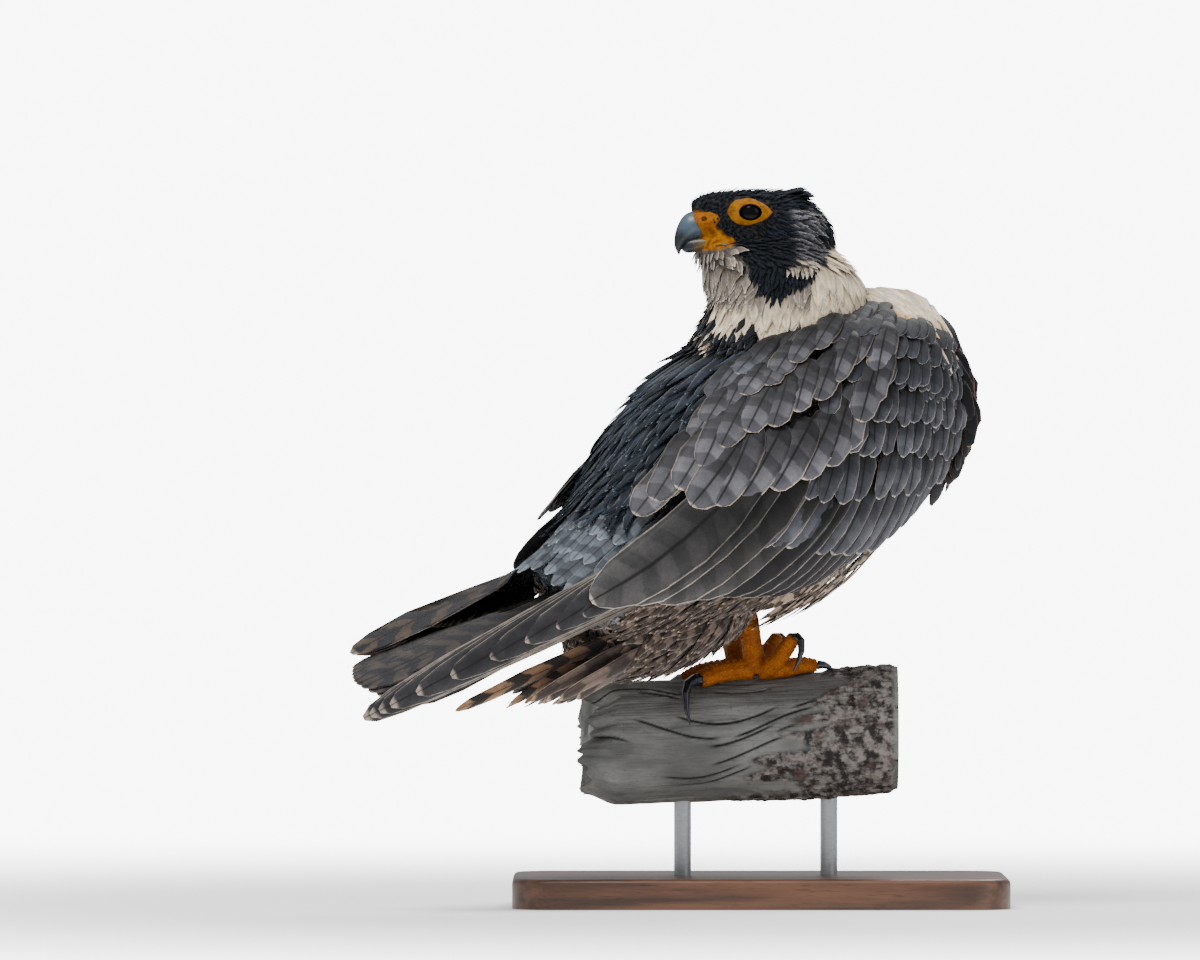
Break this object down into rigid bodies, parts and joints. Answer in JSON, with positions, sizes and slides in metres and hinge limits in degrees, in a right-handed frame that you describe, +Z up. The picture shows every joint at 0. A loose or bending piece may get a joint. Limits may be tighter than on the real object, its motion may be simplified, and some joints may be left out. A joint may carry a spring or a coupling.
{
  "type": "peregrine falcon",
  "caption": "Life-size peregrine falcon looking back over its shoulder, wings folded, gripping a cut length of dead limb on a plain rod stand.",
  "frame": {"origin": "middle of the stand base's underside", "axes": "+Z up; +X along the limb, towards its sawn end, which is the way the breast faces but for a turn of 32 degrees; +Y to the breast's left, away from the side first seen"},
  "size_m": [0.3038, 0.2379, 0.3355],
  "materials": {
    "slate_feathers": "matt, barred grey-brown feathers with paler edges",
    "black_feathers": "matt black crown and moustache feathers",
    "cream_feathers": "soft, ruffled off-white throat and collar feathers",
    "buff_feathers": "soft buff feathers with dark bars",
    "bill_horn": "semi-gloss horn, blue grey to black at the tip",
    "yellow_skin": "smooth waxy yellow skin",
    "foot_skin": "scaly deep yellow skin",
    "claw_horn": "glossy black horn",
    "eye": "wet gloss, almost black",
    "weathered_wood": "grey, barkless dead wood with cracks and rough bark on one end",
    "base_walnut": "satin oiled wood",
    "rod_steel": "satin round rod"
  },
  "bodies": {
    "root": {"bill_lower": "bill_horn", "bill_upper": "bill_horn", "cere": "yellow_skin", "claw_left_hallux": "claw_horn", "claw_left_inner": "claw_horn", "claw_left_middle": "claw_horn", "claw_left_outer": "claw_horn", "claw_right_hallux": "claw_horn", "claw_right_inner": "claw_horn", "claw_right_middle": "claw_horn", "claw_right_outer": "claw_horn", "eye_left": "eye", "eye_right": "eye", "foot_left": "foot_skin", "foot_right": "foot_skin", "head": "black_feathers", "lids_left": "yellow_skin", "lids_right": "yellow_skin", "neck": "cream_feathers", "perch": "weathered_wood", "stand_base": "base_walnut", "stand_rod_left": "rod_steel", "stand_rod_right": "rod_steel", "tail": "slate_feathers", "thigh_left": "buff_feathers", "thigh_right": "buff_feathers", "torso": "slate_feathers", "vent": "buff_feathers", "wing_left": "slate_feathers", "wing_right": "slate_feathers"}
  },
  "joints": []
}
